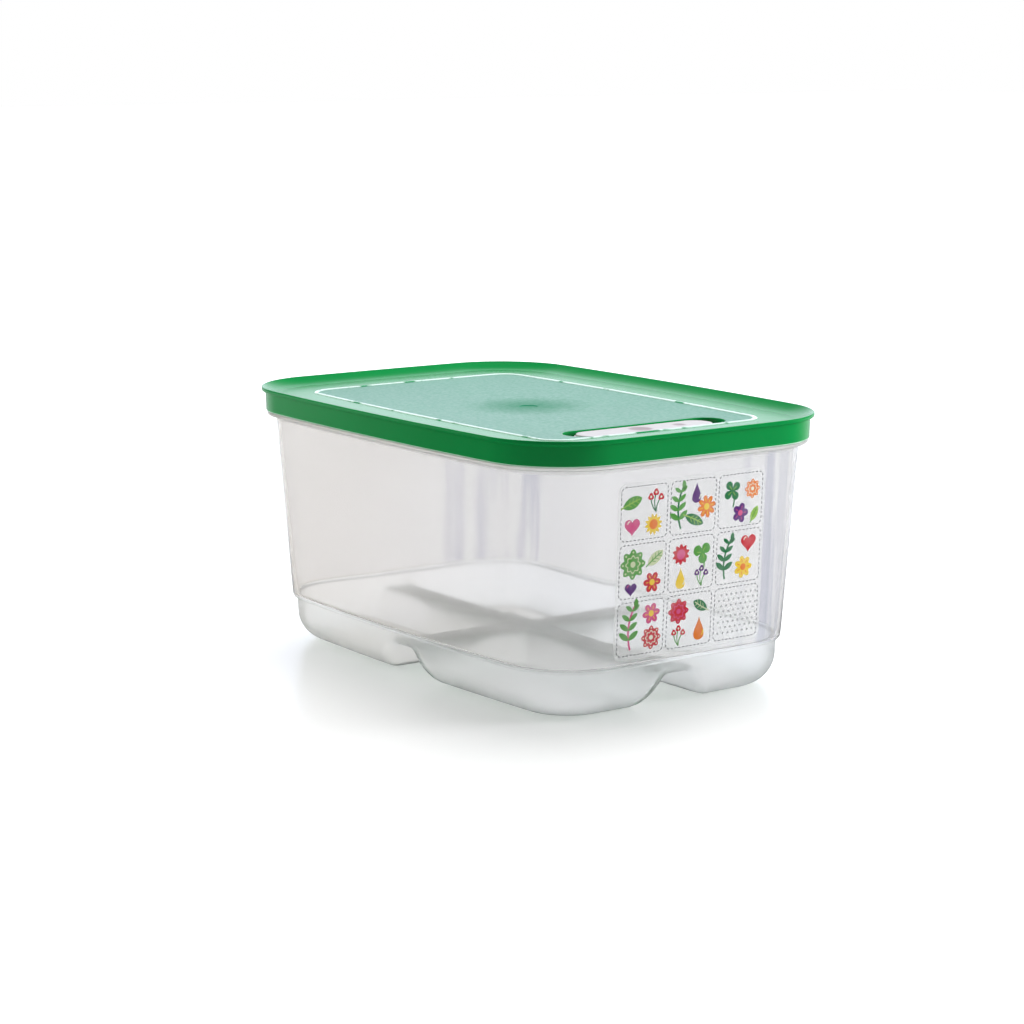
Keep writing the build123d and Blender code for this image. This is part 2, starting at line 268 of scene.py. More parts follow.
def mesh_piece(name, grids, materials, sharp=35.0, merge=0.002, tints=None):
    """Mesh object from grids of points in millimetres, each with its material's number.

    Points that meet are merged and faces turned outwards; edges past the sharp angle stay crisp.
    Tints, one colour for each grid, become the point attribute "tint".
    """
    faces, zones, first = [], [], 0
    for rows, zone in grids:
        faces.append(grid_faces(*rows.shape[:2], first))
        zones.append(np.full(len(faces[-1]), zone, np.int32))
        first += rows.size // 3
    points = np.concatenate([rows.reshape(-1, 3) for rows, _ in grids])
    mesh = bpy.data.meshes.new(name)
    mesh.from_pydata((points * MM).tolist(), [], np.concatenate(faces).tolist())
    mesh.polygons.foreach_set("material_index", np.concatenate(zones))
    if tints is not None:
        colours = [np.tile((*tint, 1.0), rows.size // 3) for tint, (rows, _) in zip(tints, grids)]
        tinted = mesh.color_attributes.new("tint", "FLOAT_COLOR", "POINT")
        tinted.data.foreach_set("color", np.concatenate(colours))
    shape = bmesh.new()
    shape.from_mesh(mesh)
    bmesh.ops.remove_doubles(shape, verts=shape.verts, dist=merge * MM)
    bmesh.ops.recalc_face_normals(shape, faces=shape.faces)
    shape.to_mesh(mesh)
    shape.free()
    mesh.polygons.foreach_set("use_smooth", np.ones(len(mesh.polygons), bool))
    mesh.set_sharp_from_angle(angle=math.radians(sharp))
    for material in materials:
        mesh.materials.append(material)
    return add_object(name, mesh)


def face_places(piece):
    """Middles of a piece's faces in millimetres, and the directions that they face."""
    middles, facing = np.zeros((2, len(piece.data.polygons) * 3))
    piece.data.polygons.foreach_get("center", middles)
    piece.data.polygons.foreach_get("normal", facing)
    return middles.reshape(-1, 3) / MM, facing.reshape(-1, 3)


# -------- materials
# In metres: the depth of the flow streaks, and where the painted reflections gather, none to all.
STREAK_DEPTH = 0.00001
REFLECTION_END_X, REFLECTION_SIDE_Y = (0.088, 0.102), (0.028, 0.042)


def new_material(name):
    """Material with its node tree and its shader."""
    material = bpy.data.materials.new(name)
    material.use_nodes = True
    return material, material.node_tree, material.node_tree.nodes["Principled BSDF"]


def feed(tree, node, inputs):
    """Give a node's inputs their values, or the sockets that feed them."""
    for key, value in inputs.items():
        if isinstance(value, bpy.types.NodeSocket):
            tree.links.new(value, node.inputs[key])
        else:
            node.inputs[key].default_value = value
    return node


def add_node(tree, kind, inputs=(), **settings):
    """Shader node of one kind with its settings and its inputs."""
    node = tree.nodes.new("ShaderNode" + kind)
    for key, value in settings.items():
        setattr(node, key, value)
    return feed(tree, node, dict(inputs))


def maths(tree, operation, *terms, **settings):
    """Result of one operation on values or sockets."""
    node = add_node(tree, "Math", enumerate(terms), operation=operation, **settings)
    return node.outputs[0]


def vector_maths(tree, operation, *terms):
    """Number that one operation makes of vectors."""
    return add_node(tree, "VectorMath", enumerate(terms), operation=operation).outputs["Value"]


def ramp(tree, source, start, stop, low=0.0, high=1.0, kind="SMOOTHSTEP"):
    """A value taken from one range to another, with soft ends unless its kind is LINEAR."""
    limits = {"Value": source, "From Min": start, "From Max": stop, "To Min": low, "To Max": high}
    return add_node(tree, "MapRange", limits, interpolation_type=kind).outputs["Result"]


def place_on(tree, kind="Object"):
    """Place on the piece in metres, or another kind of texture coordinate."""
    return add_node(tree, "TexCoord").outputs[kind]


def place_parts(tree):
    """X, Y and Z of the place on the piece."""
    return add_node(tree, "SeparateXYZ", {0: place_on(tree)}).outputs


def noise(tree, place, scale, detail, roughness=0.5):
    """Even noise of one scale."""
    inputs = {"Vector": place, "Scale": scale, "Detail": detail, "Roughness": roughness}
    return add_node(tree, "TexNoise", inputs).outputs["Fac"]


def new_group(name, inputs, outputs):
    """Shader node group, with the sockets of its float inputs and of its outputs."""
    group = bpy.data.node_groups.new(name, "ShaderNodeTree")
    add_socket, kind = group.interface.new_socket, "NodeSocketFloat"
    for label, value in inputs.items():
        add_socket(name=label, in_out="INPUT", socket_type=kind).default_value = value
    for label in outputs:
        add_socket(name=label, in_out="OUTPUT", socket_type=kind)
    return group, group.nodes.new("NodeGroupInput").outputs, group.nodes.new("NodeGroupOutput")


def place_group(tree, group, inputs):
    """Outputs of a group that is placed with its own values."""
    return add_node(tree, "Group", inputs, node_tree=group).outputs


def make_moulded_grain():
    """Fine even grain of a moulded surface, and slow clouds of shade: two sizes of noise."""
    sizes = {"Grain Scale": 1500.0, "Cloud Scale": 25.0}
    group, given, result = new_group("moulded_grain", sizes, ["Height", "Clouds"])
    place = place_on(group)
    fine = noise(group, place, given["Grain Scale"], 2.0, 0.6)
    feed(group, result, {"Height": fine, "Clouds": noise(group, place, given["Cloud Scale"], 3.0)})
    return group


def make_flow_streaks():
    """Soft upright streaks where the plastic flowed up the wall: noise stretched along Z."""
    group, given, result = new_group("flow_streaks", {"Scale": 90.0, "Stretch": 0.06}, ["Height"])
    parts = place_parts(group)
    squeezed = maths(group, "MULTIPLY", parts["Z"], given["Stretch"])
    stretched = add_node(group, "CombineXYZ", {0: parts["X"], 1: parts["Y"], 2: squeezed})
    feed(group, result, {"Height": noise(group, stretched.outputs[0], given["Scale"], 1.5)})
    return group


def make_round_mark():
    """Mask of a soft round spot: 1 inside its radius and 0 past its soft edge."""
    sizes = {"X": 0.0, "Y": 0.0, "Radius": 0.006, "Edge": 0.001}
    group, given, result = new_group("round_mark", sizes, ["Mask"])
    spots = [
        add_node(group, "CombineXYZ", {0: sockets["X"], 1: sockets["Y"]}).outputs[0]
        for sockets in (place_parts(group), given)
    ]
    inside = maths(group, "SUBTRACT", given["Radius"], vector_maths(group, "DISTANCE", *spots))
    share = maths(group, "DIVIDE", inside, given["Edge"])
    feed(group, result, {"Mask": ramp(group, share, -1.0, 1.0)})
    return group


def make_corner_reflection_streaks():
    """Painted reflection: upright streaks in the end walls toward the corners of one long side."""
    group, given, result = new_group("corner_reflection_streaks", {"Scale": 150.0, "Stretch": 0.03}, ["Mask"])
    parts = place_parts(group)
    streaks = place_group(group, flow_streaks, {0: given["Scale"], 1: given["Stretch"]})
    along_end = ramp(group, maths(group, "ABSOLUTE", parts["X"]), *REFLECTION_END_X)
    along_side = ramp(group, parts["Y"], *REFLECTION_SIDE_Y)
    mask = maths(group, "MULTIPLY", ramp(group, streaks["Height"], 0.5, 0.56), along_end)
    feed(group, result, {"Mask": maths(group, "MULTIPLY", mask, along_side)})
    return group


moulded_grain = make_moulded_grain()
flow_streaks = make_flow_streaks()
round_mark = make_round_mark()
corner_reflection_streaks = make_corner_reflection_streaks()


def blend_colours(tree, mask, first, second):
    """Colour between two colours by a mask; a colour may be a value or a socket."""
    inputs = {0: mask}
    for number, colour in ((6, first), (7, second)):
        inputs[number] = (*colour, 1) if isinstance(colour, tuple) else colour
    return add_node(tree, "Mix", inputs, data_type="RGBA").outputs[2]


def set_look(tree, shader, colour, height, roughness, depth, detail=None):
    """Colour, roughness between two values and a bump of a true depth in metres, the last two
    from one height. A detail may change the colour and the roughness."""
    rough = ramp(tree, height, 0.0, 1.0, *roughness, "LINEAR")
    if detail:
        colour, rough = detail(tree, colour, rough)
    bump = add_node(tree, "Bump", {"Strength": 1.0, "Distance": depth, "Height": height})
    feed(tree, shader, {"Base Color": colour, "Roughness": rough, "Normal": bump.outputs["Normal"]})


def mix_surface(tree, mask, first, second):
    """Surface that is one shader or another by a mask."""
    inputs = {0: mask, 1: first.outputs[0], 2: second.outputs[0]}
    surface = add_node(tree, "MixShader", inputs).outputs[0]
    feed(tree, tree.nodes["Material Output"], {"Surface": surface})


def clear_plastic(name, colours, roughness, transmission, shadow, reflection_streak=None, bending=1.49):
    """Clear moulded plastic with flow streaks, and where a colour is given, darker streaks in the
    corners that are a painted reflection. Shadow rays pass with a little loss."""
    material, tree, shader = new_material(name)
    streaks = place_group(tree, flow_streaks, {"Scale": 90.0, "Stretch": 0.01})
    grain = place_group(tree, moulded_grain, {"Grain Scale": 900.0, "Cloud Scale": 18.0})
    colour = blend_colours(tree, grain["Clouds"], *colours)
    if reflection_streak:
        corners = place_group(tree, corner_reflection_streaks, {"Scale": 130.0, "Stretch": 0.006})
        colour = blend_colours(tree, corners["Mask"], colour, reflection_streak)
    feed(tree, shader, {"Transmission Weight": transmission, "IOR": bending})
    set_look(tree, shader, colour, streaks["Height"], roughness, STREAK_DEPTH)
    clear = add_node(tree, "BsdfTransparent", {"Color": (*shadow, 1)})
    path = add_node(tree, "LightPath")
    mix_surface(tree, path.outputs["Is Shadow Ray"], shader, clear)
    return material


def solid_plastic(name, colours, roughness, grain_scale, depth, detail=None, clouds=22.0, plain=()):
    """Solid coloured plastic: cloudy shade, fine moulded grain, a detail that may change its
    colour and roughness, and plain values of its shader."""
    material, tree, shader = new_material(name)
    grain = place_group(tree, moulded_grain, {"Grain Scale": grain_scale, "Cloud Scale": clouds})
    colour = blend_colours(tree, grain["Clouds"], *colours)
    set_look(tree, shader, colour, grain["Height"], roughness, depth, detail)
    feed(tree, shader, dict(plain))
    return material


def gate_blush(tree, colour, rough):
    """A rougher round patch about the gate mark in the middle of the panel."""
    spot = place_group(tree, round_mark, {"Radius": 0.018, "Edge": 0.02})
    return colour, maths(tree, "MULTIPLY_ADD", spot["Mask"], 0.17, rough)


def broken_highlight(tree, colour, rough):
    """Short green stretches where the bead's painted highlight breaks off."""
    grain = place_group(tree, moulded_grain, {"Grain Scale": 900.0, "Cloud Scale": 60.0})
    dashes = ramp(tree, grain["Clouds"], 0.54, 0.62)
    return blend_colours(tree, dashes, colour, (0.02, 0.3, 0.1)), rough


def dish_shade(tree, colour, rough):
    """Greyish spots in the two dishes of the slider: painted shade."""
    for y, radius in ((-0.003, 0.0058), (0.021, 0.0032)):
        inputs = {"X": WELL_X * MM, "Y": y, "Radius": radius, "Edge": 0.0012}
        spot = place_group(tree, round_mark, inputs)
        colour = blend_colours(tree, spot["Mask"], colour, (0.36, 0.29, 0.31))
    return colour, rough


# Two colours that clouds of shade blend, and the least and most roughness. Then, for clear
# plastic, the share of light let through and what its shadow keeps, and for solid plastic the
# scale of its grain and the grain's depth in metres.
# The darker streak colour of the clear wall is a painted reflection in its corners.
wall_clear = clear_plastic(
    "wall_clear", ((0.88, 0.875, 0.87), (0.85, 0.845, 0.84)), (0.03, 0.08), 0.88,
    (0.97, 0.975, 0.98), reflection_streak=(0.68, 0.685, 0.73),
)
tray_frosted = clear_plastic(
    "tray_frosted", ((0.88, 0.91, 0.9), (0.84, 0.875, 0.865)), (0.3, 0.4), 0.9,
    (0.8, 0.82, 0.81), bending=1.2,
)
# The tray's inside: the same plastic, lighter and lilac, which is painted light.
tray_matte_painted_light = clear_plastic(
    "tray_matte_painted_light", ((0.985, 0.975, 0.985), (0.965, 0.955, 0.965)), (0.4, 0.54), 0.95,
    (0.85, 0.86, 0.86), bending=1.2,
)
flange_hazy = clear_plastic(
    "flange_hazy", ((0.98, 0.975, 0.95), (0.95, 0.945, 0.92)), (0.25, 0.35), 0.7, (0.85, 0.88, 0.86)
)
seal_gloss = solid_plastic(
    "seal_gloss", ((0.001, 0.29, 0.062), (0.001, 0.26, 0.052)), (0.2, 0.3), 1100.0, 0.000006,
    plain={"Specular IOR Level": 0.25},
)
# Pale green of the skirt's rounded lower edge: a painted highlight.
skirt_edge_highlight = solid_plastic(
    "skirt_edge_highlight", ((0.6, 0.95, 0.72), (0.55, 0.9, 0.68)), (0.2, 0.3), 1100.0, 0.000006
)
seal_matte = solid_plastic(
    "seal_matte", ((0.002, 0.25, 0.11), (0.002, 0.22, 0.1)), (0.22, 0.46), 520.0, 0.00005,
    gate_blush,
)
# The bead's whitish green is a painted highlight, on the low roughness of a polished line.
bead_polished_highlight = solid_plastic(
    "bead_polished_highlight", ((0.8, 0.95, 0.9), (0.72, 0.92, 0.85)), (0.1, 0.16), 900.0, 0.000004,
    broken_highlight,
)
# The grey spots in the slider's dishes are painted shade.
slider_white = solid_plastic(
    "slider_white", ((0.6, 0.58, 0.59), (0.55, 0.53, 0.54)), (0.4, 0.52), 1300.0, 0.000008,
    dish_shade,
)
label_milky = solid_plastic(
    "label_milky", ((0.97, 0.97, 0.96), (0.94, 0.94, 0.94)), (0.25, 0.4), 1400.0, 0.000003,
    clouds=40.0, plain={"Alpha": 0.25},
)

# Ink of the printed chart: its colours come with its shapes, and its coat is fine and uneven.
chart_ink, tree, shader = new_material("chart_ink")
tint = add_node(tree, "Attribute", attribute_name="tint").outputs["Color"]
coat = place_group(tree, moulded_grain, {"Grain Scale": 2200.0, "Cloud Scale": 160.0})
thin = ramp(tree, coat["Clouds"], 0.35, 0.75, 0.0, 0.16, "LINEAR")
ink = blend_colours(tree, thin, tint, (0.85, 0.85, 0.83))
set_look(tree, shader, ink, coat["Height"], (0.3, 0.45), 0.000004)

# -------- tub
CLEAR, FROSTED, HAZY, FROSTED_LIT_INSIDE = range(4)
TRAY_TOP_Z = 25.6
FLANGE_ZONE = (121.3, 124.3)
FLANGE_TOP_Z = 123.8
FLANGE_REACH = 4.6
RIM_REACH = 2.9
RIM_INNER = 0.9
RIM_TOP_Z = 132.0
RIM_FOOT_Z = 119.5
WALL_HEIGHTS = (50, 75, 100, 117)
WALL_FOOT_Z, INNER_FOOT_Z = 28, 29
INNER_MIDDLE = (0, 0, 30)

step_section = rounded_section([(-LEDGE, STEP_Z), (0, STEP_Z, STEP_ROUND), (0, STEP_Z + 3)])[1:-1]
rim_section = rounded_section(
    [
        (-0.1, RIM_FOOT_Z), (0, FLANGE_Z, 0.6), (FLANGE_REACH, FLANGE_Z, 0.7),
        (FLANGE_REACH, FLANGE_TOP_Z, 0.7), (RIM_REACH, FLANGE_TOP_Z, 0.4),
        (RIM_REACH, 129.3, 0.4), (3.35, 130.2, 0.5), (RIM_REACH, RIM_TOP_Z, 0.6),
        (RIM_INNER, RIM_TOP_Z, 0.6), (RIM_INNER, FLANGE_TOP_Z, 0.4),
        (-WALL, FLANGE_TOP_Z, 0.4), (-WALL - 0.1, RIM_FOOT_Z),
    ]
)
inner_step = rounded_section(
    [(-WALL, INNER_FOOT_Z), (-WALL, STEP_Z + WALL, 0.8), (-LEDGE - WALL, STEP_Z + WALL)]
)[1:-1]
tub_rows = np.concatenate(
    [
        tray_loops(0),
        loops_at(STEP_SIZE, step_section),
        wall_loops((WALL_FOOT_Z, *WALL_HEIGHTS), 0),
        loops_at(RIM_SIZE, rim_section),
        wall_loops((*WALL_HEIGHTS[::-1], INNER_FOOT_Z), WALL),
        loops_at(STEP_SIZE, inner_step),
        tray_loops(WALL)[::-1],
    ]
)
tub = mesh_piece(
    "tub_shell", [(tub_rows, CLEAR)], [wall_clear, tray_frosted, flange_hazy, tray_matte_painted_light], sharp=50
)
# The tray is frosted, more on its inside, where faces look at the middle, and the flange hazy.
# The inside also takes a lighter, lilac copy of the tray's colour, which is painted light.
middles, facing = face_places(tub)
heights = middles[:, 2]
in_tray = heights < TRAY_TOP_Z
inside = (facing * (middles - INNER_MIDDLE)).sum(1) < 0
in_flange = (heights > FLANGE_ZONE[0]) & (heights < FLANGE_ZONE[1])
zones = np.select([in_tray & inside, in_tray, in_flange], [FROSTED_LIT_INSIDE, FROSTED, HAZY], CLEAR)
tub.data.polygons.foreach_set("material_index", zones.astype(np.int32))
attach(tub, "tub")
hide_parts("tub")

# -------- lid
GLOSS, MATTE, HIGHLIGHTED, HIGHLIGHT_EDGE = range(4)
LIP_TOP_Z = 136.4
SKIRT_FOOT_Z = 123.9
RING_Z = 132.3
PLUG_FOOT_Z = 127
PARTING_X = 58
CHORD_POINTS = 65
DISH_RADIUS, DISH_DEPTH = 24.0, 0.22
GATE_RADIUS, GATE_DEPTH, GATE_EDGE = 4.6, 0.35, 0.16
WELL_ROUND = 0.5
SLOT_Y, SLOT_HALF, SLOT_RADIUS = 20.0, 4.5, 1.5
SAG_BAND = 0.6
RAIL_HALF, RAIL_SUNK = 24.0, 0.7
RAIL_FOOT_Z, RAIL_TOP_Z = 131.05, 131.85
FACES_OUT = 0.2

lid_section = rounded_section(
    [
        (-9, PANEL_Z), (1.0, PANEL_Z, 20.0, 14), (6.45, LIP_TOP_Z, 0.7), (7.5, LIP_TOP_Z, 0.6),
        (7.5, 134.4, 0.7), (5.5, 133.9, 0.5), (5.2, SKIRT_FOOT_Z, 0.5), (3.7, SKIRT_FOOT_Z, 0.4),
        (4.0, RING_Z, 0.3), (0.6, RING_Z, 0.3), (0.6, PLUG_FOOT_Z, 0.5), (-0.8, PLUG_FOOT_Z, 0.5),
        (-0.8, 131.4, 0.4), (-5.0, PANEL_UNDER_Z, 0.5), (-9, PANEL_UNDER_Z),
    ]
)
sweep = np.linspace(0, np.pi, 9)
bead_section = np.stack([-BEAD_HALF * np.cos(sweep), PANEL_Z + BEAD_RISE * np.sin(sweep)], 1)
bead_rows = loops_at(BEAD_SIZE, bead_section)
lid_rows = np.concatenate([bead_rows[-1:], loops_at(RIM_SIZE, lid_section)])
ring_count = lid_rows.shape[1]

# The panel is parted at a line beside the well, and each part closes in on its own opening.
parting = int(np.argmin(np.abs(bead_rows[0, : ring_count // 4, 0] - PARTING_X)))


def parted(ring):
    """The two parts of a ring, left and right of a line between two of its points."""
    first, last = ring[parting], ring[-parting]
    chord = web(last, first[None], CHORD_POINTS + 2)[1:-1, 0]
    left = np.concatenate([ring[parting : ring_count - parting + 1], chord])
    right = np.concatenate([ring[: parting + 1], chord[::-1], ring[ring_count - parting :]])
    return left, right


def from_line(points, middle, half, along):
    """Nearest point of a short line to each point, and the unit direction from there to it."""
    nearest = np.broadcast_to(np.asarray(middle, float), points.shape).copy()
    nearest[:, along] += np.clip(points[:, along] - middle[along], -half, half)
    away = points - nearest
    return nearest, away / np.hypot(*away.T)[:, None]


left, right = parted(bead_rows[0, :, :2])
left_under, right_under = parted(lid_rows[-1, :, :2])
# A shallow dish about the gate mark, and the round sunk mark itself with a soft edge.
radii = np.concatenate(
    [np.linspace(DISH_RADIUS, 6, 13), np.linspace(5.6, 3.8, 9), np.linspace(3.4, 0, 4)]
)
spokes = left / np.hypot(*left.T)[:, None]
dish = DISH_DEPTH * (1 + np.cos(np.pi * radii / DISH_RADIUS)) / 2
gate = GATE_DEPTH / (1 + np.exp((radii - GATE_RADIUS) / GATE_EDGE))
# The well: a rounded lip, an upright wall, and a cup of its own thickness outside it.
nearest, away = from_line(right, (WELL_X, 0), WELL_HALF, 1)
turn = np.linspace(0, np.pi / 2, 5)
well_reach = np.append(WELL_RADIUS + WELL_ROUND - WELL_ROUND * np.sin(turn), WELL_RADIUS)
well_heights = np.append(PANEL_Z - WELL_ROUND + WELL_ROUND * np.cos(turn), WELL_FLOOR_Z)
well_top, well_floor, cup = (
    nearest + away * (WELL_RADIUS + wider) for wider in (WELL_ROUND, 0, WELL_WALL)
)
grids = [
    (bead_rows, HIGHLIGHTED),
    (lid_rows, GLOSS),
    (raised(web(left, spokes * DISH_RADIUS, 13), PANEL_Z), MATTE),
    (raised(spokes * radii[:, None, None], PANEL_Z - dish - gate), MATTE),
    (raised(web(right, well_top, 9), PANEL_Z), MATTE),
    (raised(nearest + away * well_reach[:, None, None], well_heights), GLOSS),
    (raised(web(left_under, 0 * left_under, 3), PANEL_UNDER_Z), GLOSS),
    (raised(web(right_under, cup, 2), PANEL_UNDER_Z), GLOSS),
    (raised(cup, (PANEL_UNDER_Z, WELL_UNDER_Z)), GLOSS),
]
# Floor of the well in two halves, each round its air slot.
west = parting + 1 + CHORD_POINTS // 2
for half, slot_y in ((slice(0, west + 1), SLOT_Y), (slice(west, None), -SLOT_Y)):
    rims = []
    for ring in (well_floor, cup):
        part = ring[half] if slot_y > 0 else np.concatenate([ring[half], ring[:1]])
        rims.append(np.concatenate([part, web(part[-1:], part[:1], 22)[1:-1, 0]]))
    spot, off = from_line(rims[0], (WELL_X, slot_y), SLOT_HALF, 0)
    slot_ring = spot + off * SLOT_RADIUS
    grids += [
        (raised(web(rims[0], slot_ring, 2), WELL_FLOOR_Z), GLOSS),
        (raised(web(rims[1], slot_ring, 2), WELL_UNDER_Z), GLOSS),
        (raised(slot_ring, (WELL_FLOOR_Z, WELL_UNDER_Z)), GLOSS),
    ]
# The panel sags a little between its edges: most in the middle, none at the bead.
for rows, _ in grids:
    across, along = (
        np.clip(1 - (rows[..., axis] / (BEAD_SIZE[axis] / 2)) ** 2, 0, 1) for axis in (0, 1)
    )
    rows[..., 2] -= np.where(rows[..., 2] > PANEL_Z - SAG_BAND, PANEL_SAG * across * along, 0)
# Rails over the slider's flange, sunk into the wall of the well and closed at both ends.
for side in (-1, 1):
    near_x, far_x = (WELL_X + side * (WELL_RADIUS + sunk) for sunk in (-RAIL_SUNK, RAIL_SUNK))
    corners = np.array(
        [(near_x, RAIL_FOOT_Z), (near_x, RAIL_TOP_Z), (far_x, RAIL_TOP_Z), (far_x, RAIL_FOOT_Z)]
    )
    growth = np.array([0, 1, 1, 0])[:, None, None]
    section = corners.mean(0) + (corners - corners.mean(0)) * growth
    rail_y = RAIL_HALF * np.array([-1, -1, 1, 1])
    grids.append((raised(section, rail_y)[..., [0, 2, 1]], GLOSS))
lid = mesh_piece("lid_seal", grids, [seal_gloss, seal_matte, bead_polished_highlight, skirt_edge_highlight], sharp=38)
# The rounded lower edge of the skirt is pale where it faces outwards: a painted highlight.
middles, facing = face_places(lid)
outwards = (facing[:, :2] * middles[:, :2]).sum(1) / np.hypot(*middles[:, :2].T)
zones = np.zeros(len(middles), np.int32)
lid.data.polygons.foreach_get("material_index", zones)
zones[(middles[:, 2] < SKIRT_EDGE_Z) & (outwards > FACES_OUT)] = HIGHLIGHT_EDGE
lid.data.polygons.foreach_set("material_index", zones)
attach(lid, "lid")
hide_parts("lid")

# -------- slider
SLIDER_HALF = 31.05
SLIDER_UNDER_Z = 129.6
SLIDER_EDGE_Z = 130.7
CHANNEL_TOP_Z = 130.3
CHANNELS = ((-29.0, -17.0), (11.0, 17.0))
CHANNEL_WALL = 0.004
THUMB_DISHES = ((-3.0, 6.5, 0.6), (21.0, 3.5, 0.3))

edges = np.ravel(CHANNELS)
side_y = np.linspace(-SLIDER_HALF, SLIDER_HALF, 63)
side_y = np.sort(np.concatenate([side_y, edges - CHANNEL_WALL, edges + CHANNEL_WALL]))
end_turn = np.linspace(0, np.pi, 33)[1:-1]
end_line = SLIDER_HALF + 0 * end_turn
slider_line = np.concatenate([side_y, end_line, side_y[::-1], -end_line])
slider_way = np.concatenate([0 * side_y, end_turn, np.pi + 0 * side_y, np.pi + end_turn])


def slider_rings(radii, heights):
    """Oblong rings: each point stands its ring's radius from the slider's middle line."""
    radii = np.asarray(radii, float)[:, None]
    x = WELL_X + radii * np.cos(slider_way)
    y = slider_line + radii * np.sin(slider_way)
    return raised(np.stack([x, y], -1), heights)


def slider_top(radii):
    """Top of the slider: a round dish for the thumb and a small one beside it, each depth
    times one less the square of the distance over the dish's radius, none below zero."""
    rings = slider_rings(radii, SLIDER_TOP_Z)
    for y, radius, depth in THUMB_DISHES:
        share = ((rings[..., 0] - WELL_X) ** 2 + (rings[..., 1] - y) ** 2) / radius**2
        rings[..., 2] -= depth * np.maximum(1 - share, 0)
    return rings


slider_section = rounded_section(
    [
        (9.0, SLIDER_UNDER_Z), (9.7, SLIDER_UNDER_Z, 0.25), (9.7, SLIDER_EDGE_Z, 0.3),
        (8.7, SLIDER_EDGE_Z, 0.2), (8.7, SLIDER_TOP_Z, 0.5), (8.0, SLIDER_TOP_Z),
    ]
)
slider_rows = np.concatenate(
    [
        slider_rings(np.linspace(0, 9.0, 5), SLIDER_UNDER_Z),
        slider_rings(*slider_section.T),
        slider_top(np.linspace(8.0, 0, 33)[1:]),
    ]
)
y, z = slider_rows[..., 1], slider_rows[..., 2]
in_channel = np.any([(y > start) & (y < stop) for start, stop in CHANNELS], 0)
slider_rows[..., 2] = np.where((z < CHANNEL_TOP_Z) & in_channel, CHANNEL_TOP_Z, z)
slider = mesh_piece("vent_slider_cap", [(slider_rows, 0)], [slider_white], sharp=38)
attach(slider, "vent_slider")
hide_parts("vent_slider")

# -------- printed chart
LABEL_MIDDLE = 1.0 + 71.0j
LABEL_HALF = (45.0, 43.0)
LABEL_CORNER = 4.0
CELL_STEP = 29.4 + 27.8j
CELL_HALF = (13.7, 12.9)
CELL_CORNER = 2.4
DASH_HALF, DASH_SHARE = 0.2, 0.55
FILM_POINTS = 41
ROUND_ANGLES = np.linspace(0, 2 * np.pi, 48, endpoint=False)
ROUND = np.exp(1j * ROUND_ANGLES)
LEAF_GREEN, FOREST, LIME, SAGE = (
    (0.1, 0.36, 0.06), (0.012, 0.19, 0.06), (0.34, 0.56, 0.1), (0.62, 0.68, 0.42)
)
RED, ORANGE, YELLOW, PLUM, PINK = (
    (0.62, 0.012, 0.03), (0.83, 0.2, 0.02), (0.88, 0.6, 0.03), (0.11, 0.02, 0.2), (0.68, 0.08, 0.24)
)
PALE_GREY, LINE_GREY, CREAM = (0.42, 0.42, 0.44), (0.16, 0.16, 0.18), (0.82, 0.8, 0.66)
INK_SCALE = 1.12
# Heights of the ink, of each layer on it and of the film, and the air under them all.
INK_HEIGHT, LAYER_HEIGHT, FILM_HEIGHT, WALL_GAP = 0.06, 0.02, 0.035, 0.015


def end_wall(y, z):
    """Outer face of the end wall at a height: half the length there, less the fall of its bow,
    which is the end arc's radius less the root of (radius squared less y squared)."""
    rise = (z - STEP_Z) / (FLANGE_Z - STEP_Z)
    length, width = (a + rise * (b - a) for a, b in zip(STEP_SIZE[:2], RIM_SIZE[:2]))
    radius = bow_radii(length, width)[0]
    return length / 2 - radius + np.sqrt(radius**2 - y**2)


# A shape of ink is a grid of flat places, complex numbers of millimetres across and up, a grid
# of shares, 0 on the wall and 1 at the ink's own height, its colour, and its layer.
def filled(outline, colour, layer, middle=0.0):
    """Closed outline filled from a point inside it, both on the wall and at the ink's height."""
    centre = np.full(len(outline), middle, complex)
    shares = np.repeat([[0.0], [0.0], [1.0], [1.0]], len(outline), 1)
    return np.stack([centre, outline, outline, centre]), shares, colour, layer


def stroke(path, half_width, colour, layer=2):
    """Line along a path: to each side by its half width, and closed to a point at both ends."""
    ahead = np.gradient(path)
    side = 1j * ahead / np.abs(ahead) * half_width
    rows = np.stack([path + side, path - side, path - side, path + side], 1)
    shares = np.repeat([[0.0, 0.0, 1.0, 1.0]], len(path) + 2, 0)
    shares[[0, -1]] = 0.5
    ends = [np.repeat(path[[i]], 4)[None] for i in (0, -1)]
    return np.concatenate([ends[0], rows, ends[1]]), shares, colour, layer


def outline_band(outer, inner, colour, layer):
    """Band between two closed outlines of as many points."""
    shares = np.repeat([[0.0], [0.0], [1.0], [1.0], [0.0]], len(outer), 1)
    return np.stack([inner, outer, outer, inner, inner]), shares, colour, layer


def rounded_oblong(half_across, half_up, corner):
    """Outline of a rounded rectangle: a corner circle moved to the corner of each quarter."""
    across, up = np.sign(ROUND.real + 1e-9), np.sign(ROUND.imag + 1e-9)
    return across * (half_across - corner) + 1j * up * (half_up - corner) + corner * ROUND


def dashed(outline, colour, count=44):
    """Dashes along a closed outline: evenly spaced by its length, and a share of it inked."""
    line = np.append(outline, outline[0])
    run = np.append(0, np.cumsum(np.abs(np.diff(line))))
    marks = (np.arange(count)[:, None] + np.linspace(0, DASH_SHARE, 4)) * run[-1] / count
    places = np.interp(marks, run, line.real) + 1j * np.interp(marks, run, line.imag)
    return [stroke(place, DASH_HALF, colour, 0) for place in places]


def petals(count, depth, sharpness=1.0):
    """Outline of unit radius with lobes: 1 less depth times (1 less |cos(count angle / 2)|)."""
    return (1 - depth * (1 - np.abs(np.cos(count * ROUND_ANGLES / 2)) ** sharpness)) * ROUND


